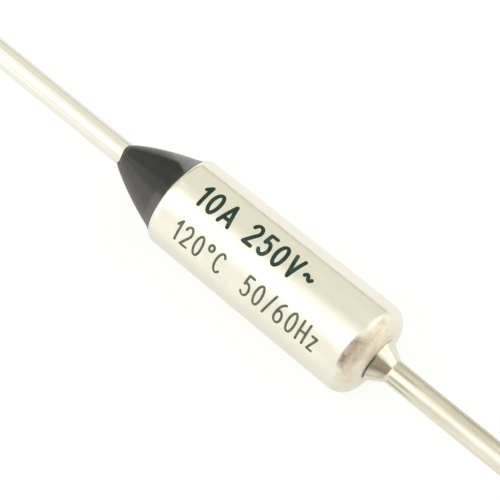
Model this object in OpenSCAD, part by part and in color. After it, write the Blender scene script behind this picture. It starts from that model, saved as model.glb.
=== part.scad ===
// Axial thermal fuse: a plated metal case with a pellet switch inside, a riveted case lead at
// the closed end and an isolated lead sealed in a resin cone at the mouth.
// Millimetres, Z up. The axis lies along X, with the closed end and the case lead towards +X.
// The origin is on the axis, in the middle of the case.

/* [Case] */
// outside diameter of the drawn case at its closed end
case_d = 4; // [3.6:0.1:4.6]
// how much the outside tapers in towards the mouth, on the radius
case_taper = 0.06; // [0:0.01:0.08]
// length from the edge of the swaged mouth to the flat end face
case_len = 10.1; // [9.4:0.1:12]
// wall of the tube at its closed end
case_wall = 0.25; // [0.18:0.01:0.32]
// thickness of the floor that the case lead is riveted through
floor_t = 0.7; // [0.6:0.05:1]
// outside round of the closed end
end_round = 0.8; // [0.4:0.05:0.85]
// inside round between bore and floor
floor_fillet = 0.2; // [0.1:0.05:0.3]
// outside radius of the swaged mouth
swage_r = 0.32; // [0.3:0.01:0.4]
// how far the mouth is swaged inwards, in degrees
swage_angle = 75; // [60:1:85]

/* [Leads] */
// length from wire end to wire end
overall_len = 65; // [50:1:90]
// diameter of both lead wires
wire_d = 1; // [0.8:0.05:1.1]
// chamfer on the cut ends of the wires
wire_chamfer = 0.08; // [0.02:0.01:0.15]
// diameter of the conical collar where it meets the end face
collar_d = 1.86; // [1.6:0.02:2.2]
// length of the conical collar
collar_len = 0.72; // [0.5:0.02:0.8]
// lean of the collar's flank from the axis, in degrees
collar_lean = 31; // [20:1:32]
// round on the rim of the collar
collar_rim = 0.05; // [0.03:0.01:0.14]
// diameter of the rivet shank in the floor
rivet_d = 1.1; // [1:0.05:1.3]
// diameter of the rivet head, flush with the floor inside
rivet_head_d = 1.8; // [1.5:0.05:2.2]
// depth of the rivet head
rivet_head_t = 0.3; // [0.2:0.05:0.4]

/* [Sealing resin] */
// length of the resin cone outside the mouth
resin_len = 2.82; // [2:0.02:4]
// thickness of the resin's edge where it ends on the wire
resin_edge_t = 0.02; // [0.01:0.01:0.12]
// length of the flare at the foot of the cone
resin_flare_len = 0.34; // [0.2:0.02:0.6]
// how far the flare steps out from the cone to its edge on the lip, on the radius
resin_flare_h = 0.19; // [0.1:0.01:0.3]
// swell of the flank over a straight cone
resin_swell = 0.07; // [0.05:0.01:0.16]
// how far the flare laps over the round of the lip, in degrees
resin_lap = 19; // [8:1:25]
// how far the resin reaches over the full wire before and after the waist
resin_cover = 0.1; // [0.05:0.05:0.15]
// depth of the waist in the wire that keys the resin
waist_depth = 0.07; // [0.04:0.01:0.1]

/* [Bushing] */
// length of the ceramic bushing
bushing_len = 1.8; // [1.4:0.05:2.2]
// how far the bushing's face sits behind the inner edge of the lip
bushing_set = 0.02; // [0.01:0.01:0.03]
// gap between bushing and case bore, on the radius
bushing_gap = 0.03; // [0.02:0.01:0.06]
// gap between wire and bushing bore, on the radius
lead_gap = 0.02; // [0.01:0.01:0.05]
// diameter of the lead's shoulder on the bushing
flange_d = 1.6; // [1.4:0.05:1.7]
// thickness of the shoulder
flange_t = 0.25; // [0.2:0.05:0.35]

/* [Contact] */
// length of the lead's contact tip beyond the shoulder
contact_tip_len = 1.15; // [0.9:0.05:1.4]
// round on the contact tip
contact_round = 0.12; // [0.05:0.01:0.2]
// thickness of the star contact
star_t = 0.12; // [0.08:0.01:0.16]
// flat rim of the star outside its seat for the trip spring
star_land = 0.03; // [0.02:0.01:0.1]
// how far the fingers are dished towards the bushing
star_dish = 0.45; // [0.3:0.05:0.6]
// number of fingers
star_fingers = 12; // [8:1:16]
// width of the slits between fingers
star_slit = 0.2; // [0.12:0.02:0.3]
// how far the slits reach into the star's flat
star_root = 0.1; // [0.05:0.01:0.2]
// thickness of the two plain discs
disc_t = 0.25; // [0.15:0.05:0.35]
// gap between discs and case bore, on the radius
disc_gap = 0.12; // [0.08:0.02:0.2]
// chamfer on the discs
disc_chamfer = 0.05; // [0.02:0.01:0.08]

/* [Springs] */
// wire of the light trip spring
trip_wire_d = 0.18; // [0.14:0.01:0.22]
// gap between the trip spring and the lead's shoulder, on the radius
trip_gap = 0.16; // [0.08:0.02:0.2]
// open coils of the trip spring
trip_coils = 2; // [1:0.5:2.5]
// wire of the strong main spring
main_wire_d = 0.3; // [0.24:0.01:0.34]
// gap between the main spring and the case bore, on the radius
main_gap = 0.35; // [0.25:0.05:0.5]
// open coils of the main spring
main_coils = 2.5; // [1.5:0.5:3]
// share of the wire that is ground off at a spring's seats
grind_share = 0.3; // [0.15:0.05:0.4]
// rise of a closed end coil over the wire's thickness
closed_rise = 1.1; // [1.05:0.01:1.2]

/* [Pellet] */
// length of the pellet
pellet_len = 2.9; // [2.4:0.1:3.4]
// gap between pellet and case bore, on the radius
pellet_gap = 0.04; // [0.02:0.01:0.08]
// chamfer on the pellet's edges over the floor's inside round
pellet_chamfer = 0.06; // [0.02:0.02:0.1]

/* [Hidden] */

// share of its length by which the flare is drawn on at both ends, into the cone and into the lip
flare_over = 0.2;
// facets of a true circle
round_fn = 96;
// facets of the large circles that only a short arc is used of
arc_fn = 960;
// sides of a spring wire
wire_fn = 10;
// steps of a spring in one turn
turn_steps = 24;

case_r = case_d / 2;
bore_r = case_r - case_wall;
mouth_r = case_r - case_taper;
wire_r = wire_d / 2;
mouth_x = -case_len / 2;
end_x = case_len / 2;
floor_x = end_x - floor_t;
wire_end_x = overall_len / 2;

// swaged mouth: centre of its arcs, inner arc and the inner edge of the lip
swage_in_r = swage_r - (mouth_r - bore_r);
swage_c = [mouth_r - swage_r, mouth_x + swage_r * sin(swage_angle)];
lip_in = swage_c + swage_in_r * [cos(swage_angle), -sin(swage_angle)];

// switch stack, from the lip inwards
bushing_x = lip_in[1] + bushing_set;
shoulder_x = bushing_x + bushing_len;
star_x = shoulder_x + flange_t + contact_tip_len;
contact_disc_x = star_x + star_t;
main_x = contact_disc_x + disc_t;
pellet_x = floor_x - pellet_len;
pellet_disc_x = pellet_x - disc_t;

// coil diameters, and the flat and slit root of the star
trip_coil_d = flange_d + 2 * trip_gap + trip_wire_d;
main_coil_d = 2 * (bore_r - main_gap) - main_wire_d;
star_flat_r = trip_coil_d / 2 + trip_wire_d / 2 + star_land;
star_root_r = star_flat_r - star_root;

// resin cone: edge on the lip, neck over the flare, end on the wire and the circle through the last two
resin_edge_a = swage_angle - resin_lap;
resin_edge = swage_c + swage_r * [cos(resin_edge_a), -sin(resin_edge_a)];
resin_neck = [resin_edge[0] - resin_flare_h, mouth_x - resin_flare_len];
resin_tip = [wire_r + resin_edge_t, mouth_x - resin_len];
flare = resin_edge - resin_neck;
flank = resin_neck - resin_tip;
flank_len = norm(flank);
flank_out = [flank[1], -flank[0]] / flank_len;
flank_r = (pow(flank_len / 2, 2) + pow(resin_swell, 2)) / (2 * resin_swell);
flank_c = (resin_neck + resin_tip) / 2 - flank_out * (flank_r - resin_swell);

// waist of the isolated lead inside the resin
waist_x = resin_tip[1] + resin_cover;
waist_half = (bushing_x - resin_cover - waist_x) / 2;
waist_r = (pow(waist_half, 2) + pow(waist_depth, 2)) / (2 * waist_depth);

// collar of the case lead: centre of its rim round, end of that round and radius at the small end
collar_rim_c = [collar_d / 2 - collar_rim, end_x + collar_rim];
collar_foot = collar_rim_c + collar_rim * [cos(collar_lean), sin(collar_lean)];
collar_top_x = end_x + collar_len;
collar_top_r = collar_foot[0] - (collar_top_x - collar_foot[1]) * tan(collar_lean);

// turns a profile of [radius, x] round the X axis
module turned() {
    rotate([0, 90, 0])
        rotate_extrude($fn = round_fn)
            children();
}

// profile of a plain round bar between two places on the axis
module bar(r, x0, x1) {
    translate([0, x0])
        square([r, x1 - x0]);
}

// what a round takes off the outer corner of a profile that ends at x, with its end towards +X
module corner_off(r, x, c) {
    translate([r - c, x - c])
        difference() {
            square(2 * c);
            circle(c, $fn = round_fn);
        }
}

// wall of the swaged mouth, from the end of the tube to the lip
module swage_profile() {
    reach = 4 * swage_r;
    translate(swage_c)
        intersection() {
            difference() {
                circle(swage_r, $fn = round_fn);
                circle(swage_in_r, $fn = round_fn);
            }
            polygon([[0, 0], [reach, 0], reach * [cos(swage_angle), -sin(swage_angle)]]);
        }
}

// shank and countersunk head of the case lead inside the floor
module rivet_profile() {
    bar(rivet_d / 2, floor_x, end_x);
    polygon([[0, floor_x], [rivet_head_d / 2, floor_x], [rivet_d / 2, floor_x + rivet_head_t],
             [0, floor_x + rivet_head_t]]);
}

// isolated lead from its outer end to the contact tip
module isolated_lead_profile() {
    difference() {
        union() {
            polygon([[0, -wire_end_x], [wire_r - wire_chamfer, -wire_end_x],
                     [wire_r, -wire_end_x + wire_chamfer], [wire_r, star_x], [0, star_x]]);
            bar(flange_d / 2, shoulder_x, shoulder_x + flange_t);
        }
        corner_off(wire_r, star_x, contact_round);
        intersection() {
            translate([wire_r + waist_r - waist_depth, waist_x + waist_half])
                circle(waist_r, $fn = arc_fn);
            bar(wire_d, waist_x, waist_x + 2 * waist_half);
        }
    }
}

// one turn after another of a coil spring: rise along the axis at a given turn
function coil_rise(turn, coils, closed, pitch) =
    turn < 1 ? turn * closed :
    turn < 1 + coils ? closed + (turn - 1) * pitch :
    closed + coils * pitch + (turn - 1 - coils) * closed;

// coil spring along +Z with closed ends, ground flat between the planes z = 0 and z = len
module coil_spring(wire, coil, len, coils) {
    turns = coils + 2;
    steps = round(turns * turn_steps);
    ground = wire * grind_share;
    closed = wire * closed_rise;
    pitch = (len - wire + 2 * ground - 2 * closed) / coils;
    rings = [for (i = [0 : steps])
        let (turn = turns * i / steps, z = coil_rise(turn, coils, closed, pitch) + wire / 2 - ground)
        for (k = [0 : wire_fn - 1])
            let (a = 360 * k / wire_fn, r = coil / 2 + wire / 2 * cos(a))
            [r * cos(360 * turn), r * sin(360 * turn), z + wire / 2 * sin(a)]];
    sides = [for (i = [0 : steps - 1], k = [0 : wire_fn - 1])
        let (n = (k + 1) % wire_fn)
        [i * wire_fn + k, i * wire_fn + n, (i + 1) * wire_fn + n, (i + 1) * wire_fn + k]];
    first = [for (k = [wire_fn - 1 : -1 : 0]) k];
    last = [for (k = [0 : wire_fn - 1]) steps * wire_fn + k];
    intersection() {
        polyhedron(points = rings, faces = concat([first], sides, [last]));
        cylinder(h = len, d = coil + 2 * wire, $fn = round_fn);
    }
}

// plain disc with both edges chamfered, its first face at x
module plain_disc(x) {
    r = bore_r - disc_gap;
    turned()
        polygon([[0, x], [r - disc_chamfer, x], [r, x + disc_chamfer], [r, x + disc_t - disc_chamfer],
                 [r - disc_chamfer, x + disc_t], [0, x + disc_t]]);
}

// drawn cup with a thick floor, a rounded closed end, a slight taper and the mouth swaged over the bushing
module case() {
    color([0.86, 0.85, 0.78])
        turned()
            difference() {
                union() {
                    difference() {
                        polygon([[0, swage_c[1]], [mouth_r, swage_c[1]], [case_r, end_x - end_round],
                                 [case_r, end_x], [0, end_x]]);
                        corner_off(case_r, end_x, end_round);
                        difference() {
                            bar(bore_r, swage_c[1], floor_x);
                            corner_off(bore_r, floor_x, floor_fillet);
                        }
                    }
                    swage_profile();
                }
                rivet_profile();
            }
}

// wire with a conical collar on the end face and a rivet tail headed inside the floor
module case_lead() {
    color([0.84, 0.82, 0.74])
        turned() {
            polygon([[0, end_x], [wire_r, end_x], [wire_r, wire_end_x - wire_chamfer],
                     [wire_r - wire_chamfer, wire_end_x], [0, wire_end_x]]);
            polygon([[0, end_x], [collar_rim_c[0], end_x], collar_rim_c, collar_foot,
                     [collar_top_r, collar_top_x], [0, collar_top_x]]);
            translate(collar_rim_c)
                circle(collar_rim, $fn = round_fn);
            rivet_profile();
        }
}

// wire with a keying waist, a shoulder on the bushing and a rounded contact tip
module isolated_lead() {
    color([0.84, 0.82, 0.74])
        turned()
            isolated_lead_profile();
}

// cast cone with a swelling flank, a flared foot over the lip and a plug down to the bushing
module sealing_resin() {
    foot = resin_neck - flare_over * flare;
    edge = resin_edge + flare_over * flare;
    lip_mid_r = lip_in[0] + (mouth_r - bore_r) / 2;
    color([0.16, 0.16, 0.15])
        turned()
            difference() {
                union() {
                    intersection() {
                        translate(flank_c)
                            circle(flank_r, $fn = arc_fn);
                        bar(case_r, resin_tip[1], mouth_x);
                    }
                    polygon([[0, foot[1]], foot, edge, [lip_mid_r, bushing_x], [0, bushing_x]]);
                }
                swage_profile();
                isolated_lead_profile();
            }
}

// ceramic tube whose outer edge is rounded to the swaged lip
module ceramic_bushing() {
    color([0.93, 0.91, 0.85])
        turned()
            difference() {
                bar(bore_r - bushing_gap, bushing_x, shoulder_x);
                bar(wire_r + lead_gap, bushing_x, shoulder_x);
                translate(swage_c)
                    difference() {
                        translate([0, -2 * swage_in_r])
                            square(2 * swage_in_r);
                        circle(swage_in_r, $fn = round_fn);
                    }
            }
}

// light spring between the bushing and the star contact
module trip_spring() {
    color([0.72, 0.72, 0.7])
        translate([shoulder_x, 0, 0])
            rotate([0, 90, 0])
                coil_spring(trip_wire_d, trip_coil_d, star_x - shoulder_x, trip_coils);
}

// dished contact, slit into fingers that bear on the case bore
module star_contact() {
    reach = bore_r - star_root_r;
    color([0.9, 0.9, 0.86])
        difference() {
            turned()
                polygon([[0, star_x], [star_flat_r, star_x], [bore_r, star_x - star_dish],
                         [bore_r, star_x - star_dish + star_t], [star_flat_r, star_x + star_t],
                         [0, star_x + star_t]]);
            for (i = [0 : star_fingers - 1])
                rotate([360 * i / star_fingers, 0, 0])
                    translate([star_x - 2 * star_dish, star_root_r, -star_slit / 2])
                        cube([3 * star_dish, 2 * reach, star_slit]);
        }
}

// disc that spreads the main spring's force on the star contact
module contact_disc() {
    color([0.8, 0.72, 0.5])
        plain_disc(contact_disc_x);
}

// strong spring that is held short until the pellet melts
module main_spring() {
    color([0.68, 0.68, 0.66])
        translate([main_x, 0, 0])
            rotate([0, 90, 0])
                coil_spring(main_wire_d, main_coil_d, pellet_disc_x - main_x, main_coils);
}

// disc that carries the main spring on the pellet
module pellet_disc() {
    color([0.8, 0.72, 0.5])
        plain_disc(pellet_disc_x);
}

// pressed pellet that fills the closed end
module melting_pellet() {
    r = bore_r - pellet_gap;
    c = floor_fillet + pellet_chamfer;
    color([0.85, 0.8, 0.62])
        turned()
            polygon([[0, pellet_x], [r - c, pellet_x], [r, pellet_x + c], [r, floor_x - c],
                     [r - c, floor_x], [0, floor_x]]);
}

case();
case_lead();
isolated_lead();
sealing_resin();
ceramic_bushing();
trip_spring();
star_contact();
contact_disc();
main_spring();
pellet_disc();
melting_pellet();
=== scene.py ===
"""Looks of an axial thermal fuse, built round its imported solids.

The classes hold their sizes in millimetres, with X along the wires, and the meshes are made in metres.
"""

import logging
import math
from dataclasses import dataclass, field
from enum import Enum
from typing import Optional, Sequence, Union

import bmesh
import bpy
from bmesh.types import BMesh, BMVert
from bpy.types import Material, Node, NodeTree, Object
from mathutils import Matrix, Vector, noise
from mathutils.geometry import delaunay_2d_cdt


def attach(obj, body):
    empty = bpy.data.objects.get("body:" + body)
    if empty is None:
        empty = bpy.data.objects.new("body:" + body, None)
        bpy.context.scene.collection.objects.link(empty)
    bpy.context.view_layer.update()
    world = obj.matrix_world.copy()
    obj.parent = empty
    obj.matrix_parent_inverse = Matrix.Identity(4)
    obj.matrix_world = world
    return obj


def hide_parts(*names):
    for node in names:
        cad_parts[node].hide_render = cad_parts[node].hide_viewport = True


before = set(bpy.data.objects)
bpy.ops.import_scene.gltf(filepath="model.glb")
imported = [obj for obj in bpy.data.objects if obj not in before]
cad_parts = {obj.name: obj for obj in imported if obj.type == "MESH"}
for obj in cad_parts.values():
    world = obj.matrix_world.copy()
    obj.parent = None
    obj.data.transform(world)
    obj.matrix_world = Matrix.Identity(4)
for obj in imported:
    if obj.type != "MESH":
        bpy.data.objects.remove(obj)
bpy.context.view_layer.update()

LOG = logging.getLogger("thermal_fuse")
MM = 0.001
BODY = "root"
TINY = 1e-6

Colour = tuple[float, float, float]
Socket = bpy.types.NodeSocket
Feed = Union[Socket, float, Sequence[float]]
Layer = tuple[Socket, float]
Pair = tuple[float, float]
Stroke = list[Pair]


class Slot(Enum):
    """The record's material slots that the pieces of this scene use."""

    SILVER_PLATE = "silver_plate"
    TINNED_WIRE = "tinned_wire"
    BLACK_RESIN = "black_resin"


class Grain(Enum):
    """Which way the drawing marks of a metal run, as how dense they are along X, Y and Z."""

    ALONG = (0.06, 1.0, 1.0)
    NONE = (1.0, 1.0, 1.0)


class NodeGraph:
    """A node tree with short calls to add nodes and feed their sockets."""

    def __init__(self, tree: NodeTree) -> None:
        """Starts from an emptied tree."""
        self.tree = tree
        tree.nodes.clear()

    def add(self, kind: str, **options: object) -> Node:
        """Adds a node.

        Args:
            kind: Blender's type name of the node.
            **options: the node's own options by name.

        Returns:
            The new node.
        """
        node = self.tree.nodes.new(kind)
        for name, value in options.items():
            setattr(node, name, value)
        return node

    def feed(self, socket: Socket, source: Feed) -> None:
        """Links a socket to another one, or sets its plain value.

        Args:
            socket: the input to feed.
            source: an output socket, a number or a row of numbers.
        """
        if isinstance(source, Socket):
            self.tree.links.new(source, socket)
        else:
            socket.default_value = source

    def math(self, operation: str, first: Feed, second: Feed = 0.0, clamp: bool = False) -> Socket:
        """Adds a Math node.

        Args:
            operation: its operation.
            first: what goes into its first input.
            second: what goes into its second input.
            clamp: whether the result is held between 0 and 1.

        Returns:
            The output socket.
        """
        node = self.add("ShaderNodeMath", operation=operation, use_clamp=clamp)
        self.feed(node.inputs[0], first)
        self.feed(node.inputs[1], second)
        return node.outputs[0]

    def vector(self, operation: str, first: Feed, second: Feed = (0.0, 0.0, 0.0)) -> Socket:
        """Adds a Vector Math node.

        Args:
            operation: its operation.
            first: the first vector.
            second: the second vector, or the factor of a SCALE.

        Returns:
            The output socket: a value for a DOT_PRODUCT, else a vector.
        """
        node = self.add("ShaderNodeVectorMath", operation=operation)
        self.feed(node.inputs[0], first)
        self.feed(node.inputs["Scale" if operation == "SCALE" else 1], second)
        return node.outputs["Value" if operation == "DOT_PRODUCT" else "Vector"]

    def axis(self, vector: Socket, index: int) -> Socket:
        """Takes one number out of a vector.

        Args:
            vector: the vector.
            index: 0, 1 or 2 for X, Y or Z.

        Returns:
            The number's socket.
        """
        split = self.add("ShaderNodeSeparateXYZ")
        self.feed(split.inputs[0], vector)
        return split.outputs[index]

    def facing(self, vector: Socket, side: float) -> Socket:
        """Measures how far a vector points to one side of the X axis.

        Args:
            vector: the vector.
            side: the side in degrees, from +Z to +Y.

        Returns:
            The cosine of the angle between both, seen along X.
        """
        turn = math.radians(side)
        outward = self.vector("NORMALIZE", self.vector("MULTIPLY", vector, (0.0, 1.0, 1.0)))
        return self.vector("DOT_PRODUCT", outward, (0.0, math.sin(turn), math.cos(turn)))

    def remap(self, value: Feed, low: float, high: float, to_low: Feed, to_high: Feed,
              smooth: bool = False) -> Socket:
        """Adds a clamped Map Range node.

        Args:
            value: what is mapped.
            low: the value that gives to_low.
            high: the value that gives to_high.
            to_low: the result at the low value.
            to_high: the result at the high value.
            smooth: whether the change eases in and out.

        Returns:
            The output socket.
        """
        node = self.add("ShaderNodeMapRange", interpolation_type="SMOOTHSTEP" if smooth else "LINEAR")
        names = ("Value", "From Min", "From Max", "To Min", "To Max")
        for name, source in zip(names, (value, low, high, to_low, to_high)):
            self.feed(node.inputs[name], source)
        return node.outputs["Result"]

    def rise(self, value: Feed, low: float, high: float) -> Socket:
        """Goes gently from 0 at the low value to 1 at the high one."""
        return self.remap(value, low, high, 0.0, 1.0, smooth=True)

    def fall(self, value: Feed, low: float, high: float) -> Socket:
        """Goes gently from 1 at the low value to 0 at the high one."""
        return self.remap(value, low, high, 1.0, 0.0, smooth=True)

    def blend(self, factor: Feed, first: Feed, second: Feed) -> Socket:
        """Adds a Mix node for colours.

        Args:
            factor: the share of the second colour.
            first: the first colour.
            second: the second colour.

        Returns:
            The output socket.
        """
        factor_input, colour_inputs, colour_output = 0, (6, 7), 2
        node = self.add("ShaderNodeMix", data_type="RGBA")
        self.feed(node.inputs[factor_input], factor)
        for index, source in zip(colour_inputs, (first, second)):
            self.feed(node.inputs[index], source if isinstance(source, Socket) else (*source, 1.0))
        return node.outputs[colour_output]

    def noise(self, vector: Feed, scale: Feed, detail: float = 3.0, roughness: float = 0.5) -> Socket:
        """Adds a Noise Texture node.

        Args:
            vector: where it is read.
            scale: how many cells go into one unit.
            detail: how many finer layers it has.
            roughness: how strong the finer layers are.

        Returns:
            The value's socket.
        """
        node = self.add("ShaderNodeTexNoise", noise_dimensions="3D")
        names = ("Vector", "Scale", "Detail", "Roughness")
        for name, source in zip(names, (vector, scale, detail, roughness)):
            self.feed(node.inputs[name], source)
        return node.outputs[0]


Group = tuple[NodeGraph, Node, Node]


class SurfaceEffects:
    """The shader node groups that several finishes share, each built once."""

    def __init__(self) -> None:
        """Builds every group."""
        self.grain = self._grains("drawn grain", "Marks per mm", detail=4.0, roughness=0.62, edge=(0.3, 0.7))
        self.tarnish = self._tarnish()
        self.scratches = self._scratches()
        self.speckle = self._grains("speckle", "Grains per mm", detail=6.0, roughness=0.7, edge=(0.42, 0.66))

    @staticmethod
    def _open(name: str, inputs: Sequence[str], outputs: Sequence[str]) -> Group:
        """Starts a group whose first input is the surface point in mm.

        Args:
            name: the group's name.
            inputs: names of the number inputs after the point.
            outputs: names of the number outputs.

        Returns:
            The graph, its input node and its output node.
        """
        tree = bpy.data.node_groups.new(name, "ShaderNodeTree")
        tree.interface.new_socket("Point", in_out="INPUT", socket_type="NodeSocketVector")
        for way, labels in (("INPUT", inputs), ("OUTPUT", outputs)):
            for label in labels:
                tree.interface.new_socket(label, in_out=way, socket_type="NodeSocketFloat")
        graph = NodeGraph(tree)
        return graph, graph.add("NodeGroupInput"), graph.add("NodeGroupOutput")

    def _grains(self, name: str, density: str, detail: float, roughness: float, edge: Pair) -> NodeTree:
        """Makes marks or grains at one density.

        Args:
            name: the group's name.
            density: the name of its density input.
            detail: how many finer layers the noise has.
            roughness: how strong the finer layers are.
            edge: the heights where the mask starts and where it is full.

        Returns:
            The group, with a height and a mask.
        """
        graph, source, target = self._open(name, (density,), ("Height", "Mask"))
        height = graph.noise(source.outputs["Point"], source.outputs[density], detail, roughness)
        graph.feed(target.inputs["Height"], height)
        graph.feed(target.inputs["Mask"], graph.rise(height, *edge))
        return graph.tree

    def _tarnish(self) -> NodeTree:
        """Makes soft cloudy patches where plating has dulled.

        Returns:
            The group, with a mask.
        """
        cloud_edge, drift_edge = (0.38, 0.68), (0.36, 0.64)
        drift_density, drift_low = 0.31, 0.15
        graph, source, target = self._open("tarnish", ("Patches per mm", "Amount"), ("Mask",))
        point, density = source.outputs["Point"], source.outputs["Patches per mm"]
        cloud = graph.noise(point, density, detail=5.0, roughness=0.6)
        drift = graph.noise(point, graph.math("MULTIPLY", density, drift_density), detail=2.0)
        both = graph.math("MULTIPLY", graph.rise(cloud, *cloud_edge),
                          graph.remap(drift, *drift_edge, drift_low, 1.0, smooth=True))
        graph.feed(target.inputs["Mask"], graph.math("MULTIPLY", both, source.outputs["Amount"], clamp=True))
        return graph.tree

    def _scratches(self) -> NodeTree:
        """Makes short hair lines of handling, bent and cut up by slow noises.

        Returns:
            The group, with a height and a mask.
        """
        bend_density, bend = 0.9, 1.6
        cut_density, cut_edge = 1.3, (0.52, 0.62)
        graph, source, target = self._open("hair scratches", ("Cells per mm", "Width"), ("Height", "Mask"))
        point = source.outputs["Point"]
        warp = graph.add("ShaderNodeTexNoise")
        graph.feed(warp.inputs["Vector"], point)
        graph.feed(warp.inputs["Scale"], bend_density)
        bent = graph.vector("ADD", point, graph.vector("SCALE", warp.outputs[1], bend))
        cells = graph.add("ShaderNodeTexVoronoi", feature="DISTANCE_TO_EDGE")
        graph.feed(cells.inputs["Vector"], bent)
        graph.feed(cells.inputs["Scale"], source.outputs["Cells per mm"])
        line = graph.math("LESS_THAN", cells.outputs["Distance"], source.outputs["Width"])
        keep = graph.remap(graph.noise(point, cut_density, detail=2.0), *cut_edge, 0.0, 1.0)
        mask = graph.math("MULTIPLY", line, keep)
        graph.feed(target.inputs["Mask"], mask)
        graph.feed(target.inputs["Height"], graph.math("SUBTRACT", 1.0, mask))
        return graph.tree


class Surface:
    """A material under construction: its shader, its point in mm and its bump."""

    def __init__(self, name: str) -> None:
        """Makes the material with an empty Principled shader.

        Args:
            name: the material's name.
        """
        self.material = bpy.data.materials.new(name)
        self.material.use_nodes = True
        self.graph = NodeGraph(self.material.node_tree)
        self.shader = self.graph.add("ShaderNodeBsdfPrincipled")
        output = self.graph.add("ShaderNodeOutputMaterial")
        self.graph.feed(output.inputs["Surface"], self.shader.outputs["BSDF"])
        place = self.graph.add("ShaderNodeTexCoord")
        self.point = self.graph.vector("SCALE", place.outputs["Object"], 1.0 / MM)

    def set(self, **values: Feed) -> None:
        """Feeds sockets of the shader, named with underscores for spaces."""
        for name, value in values.items():
            self.graph.feed(self.shader.inputs[name.replace("_", " ")], value)

    def effect(self, group: NodeTree, point: Optional[Socket] = None, **values: float) -> Node:
        """Places a shared group.

        Args:
            group: the group.
            point: where it is read, if that isn't the plain surface point.
            **values: its inputs, named with underscores for spaces.

        Returns:
            The group's node.
        """
        node = self.graph.add("ShaderNodeGroup", node_tree=group)
        self.graph.feed(node.inputs["Point"], point or self.point)
        for name, value in values.items():
            self.graph.feed(node.inputs[name.replace("_", " ")], value)
        return node

    def axis_x(self) -> Socket:
        """Gives the surface point's place along the wires, in mm."""
        return self.graph.axis(self.point, 0)

    def lay_worn_and_painted_spots(self, spots: Sequence["WornSpot"], breakup: Node, colour: Feed,
             roughness: Feed) -> tuple[Feed, Feed, list[Layer]]:
        """Lays worn spots and spots of painted light and shade over a finish.

        Args:
            spots: the spots, each over the one before it.
            breakup: a speckle that breaks them up.
            colour: the finish's colour.
            roughness: the finish's roughness.

        Returns:
            The spotted colour, the spotted roughness and a bump layer for each spot.
        """
        graph = self.graph
        layers: list[Layer] = []
        for spot in spots:
            mask = spot.mask(self, breakup.outputs["Mask"])
            colour = graph.blend(mask, colour, spot.colour)
            roughness = graph.remap(mask, 0.0, 1.0, roughness, spot.roughness)
            layers.append((graph.math("MULTIPLY", breakup.outputs["Height"], mask), spot.dents))
        return colour, roughness, layers

    def bump(self, *layers: Layer) -> None:
        """Stacks bump layers into the shader's normal.

        Args:
            *layers: heights from 0 to 1, each with its depth in mm.
        """
        last: Optional[Socket] = None
        for height, depth in layers:
            node = self.graph.add("ShaderNodeBump")
            node.inputs["Strength"].default_value = 1.0
            node.inputs["Distance"].default_value = depth * MM
            self.graph.feed(node.inputs["Height"], height)
            if last is not None:
                self.graph.feed(node.inputs["Normal"], last)
            last = node.outputs["Normal"]
        if last is not None:
            self.set(Normal=last)


@dataclass(frozen=True)
class WornSpot:
    """A stretch of colour on one side of a turned piece, laid for worn spots and for painted light and shade.

    Along the wires it starts, is full, fades and ends at the four places. Round them it lies on one side,
    reaches over two cosines and starts later, by the bow, the further it is from that side.
    """

    along: tuple[float, float, float, float]
    side: float
    reach: Pair
    colour: Colour
    roughness: float
    dents: float
    bow: float = 0.0
    patchy: float = 0.7

    def mask(self, surface: Surface, breakup: Socket) -> Socket:
        """Lays the spot out on the surface.

        Args:
            surface: the material under construction.
            breakup: a value from 0 to 1 that breaks the spot up.

        Returns:
            The mask's socket.
        """
        graph = surface.graph
        near = graph.facing(surface.point, self.side)
        late = graph.math("MULTIPLY", graph.math("SUBTRACT", 1.0, near), self.bow)
        place = graph.math("SUBTRACT", surface.axis_x(), late)
        start, full, fade, end = self.along
        length = graph.math("MULTIPLY", graph.rise(place, start, full), graph.fall(place, fade, end))
        share = graph.math("MULTIPLY", graph.rise(near, *self.reach), length)
        broken = graph.remap(breakup, 0.0, 1.0, 1.0 - self.patchy, 1.0)
        return graph.math("MULTIPLY", share, broken, clamp=True)


# These stretches run past both ends of what they lie on.
WHOLE_CASE = (-9.0, -8.9, 9.0, 10.0)
WHOLE_CASE_WIRE = (5.7, 5.9, 90.0, 91.0)
WHOLE_LEAD_WIRE = (-90.0, -89.0, 0.0, 1.0)


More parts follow.
